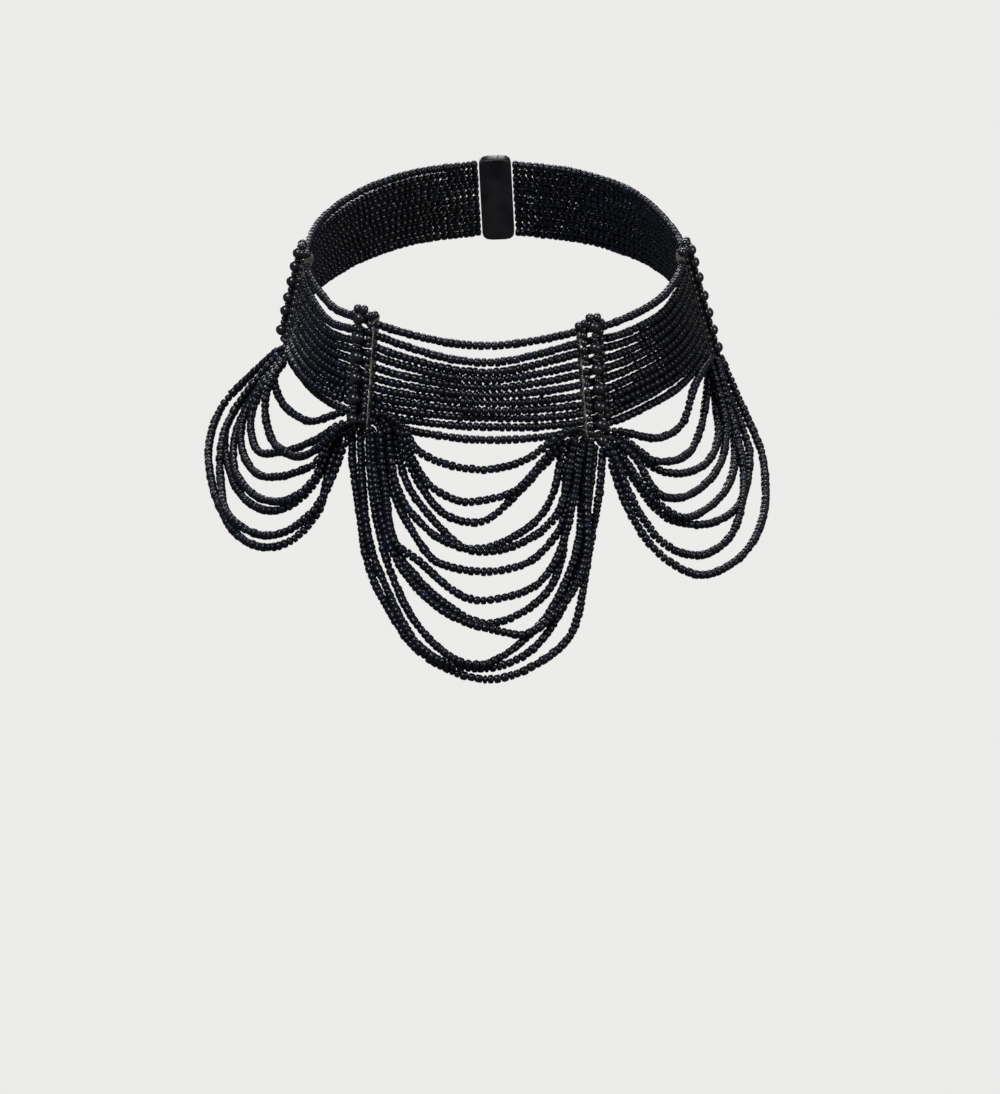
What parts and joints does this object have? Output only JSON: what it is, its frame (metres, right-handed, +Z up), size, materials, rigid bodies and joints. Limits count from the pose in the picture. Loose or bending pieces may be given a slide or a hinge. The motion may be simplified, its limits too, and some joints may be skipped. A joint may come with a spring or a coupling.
{
  "type": "beaded choker necklace",
  "caption": "Black beaded choker: a band of seed-bead strings held by spacer bars with round beads, with long bead swags hanging at the front and sides.",
  "frame": {"origin": "on the axis of the neck, at the centre of the top string's ring", "axes": "+X to the right as seen from the front, +Y towards the nape, +Z up"},
  "size_m": [0.1732, 0.1479, 0.1631],
  "materials": {
    "seed_beads": "satin, near-black with a navy tint",
    "round_beads": "polished, black",
    "bar_metal": "dull, darkened",
    "clasp_metal": "satin, darkened",
    "thread": "black beading thread"
  },
  "bodies": {
    "root": {"collar_string_01": "seed_beads", "collar_string_02": "seed_beads", "collar_string_03": "seed_beads", "collar_string_04": "seed_beads", "collar_string_05": "seed_beads", "collar_string_06": "seed_beads", "collar_string_07": "seed_beads", "collar_string_08": "seed_beads", "collar_string_09": "seed_beads", "collar_string_10": "seed_beads", "collar_string_11": "seed_beads", "front_swag_01": "seed_beads", "front_swag_02": "seed_beads", "front_swag_03": "seed_beads", "front_swag_04": "seed_beads", "front_swag_05": "seed_beads", "front_swag_06": "seed_beads", "front_swag_07": "seed_beads", "front_swag_08": "seed_beads", "front_swag_09": "seed_beads", "front_swag_10": "seed_beads", "front_swag_11": "seed_beads", "front_swag_12": "seed_beads", "left_swag_01": "seed_beads", "left_swag_02": "seed_beads", "left_swag_03": "seed_beads", "left_swag_04": "seed_beads", "left_swag_05": "seed_beads", "left_swag_06": "seed_beads", "left_swag_07": "seed_beads", "left_swag_08": "seed_beads", "right_swag_01": "seed_beads", "right_swag_02": "seed_beads", "right_swag_03": "seed_beads", "right_swag_04": "seed_beads", "right_swag_05": "seed_beads", "right_swag_06": "seed_beads", "right_swag_07": "seed_beads", "right_swag_08": "seed_beads", "left_side_bar": "bar_metal", "left_side_round_beads": "round_beads", "left_front_bar": "bar_metal", "left_front_round_beads": "round_beads", "right_front_bar": "bar_metal", "right_front_round_beads": "round_beads", "right_side_bar": "bar_metal", "right_side_round_beads": "round_beads", "clasp": "clasp_metal"}
  },
  "joints": []
}
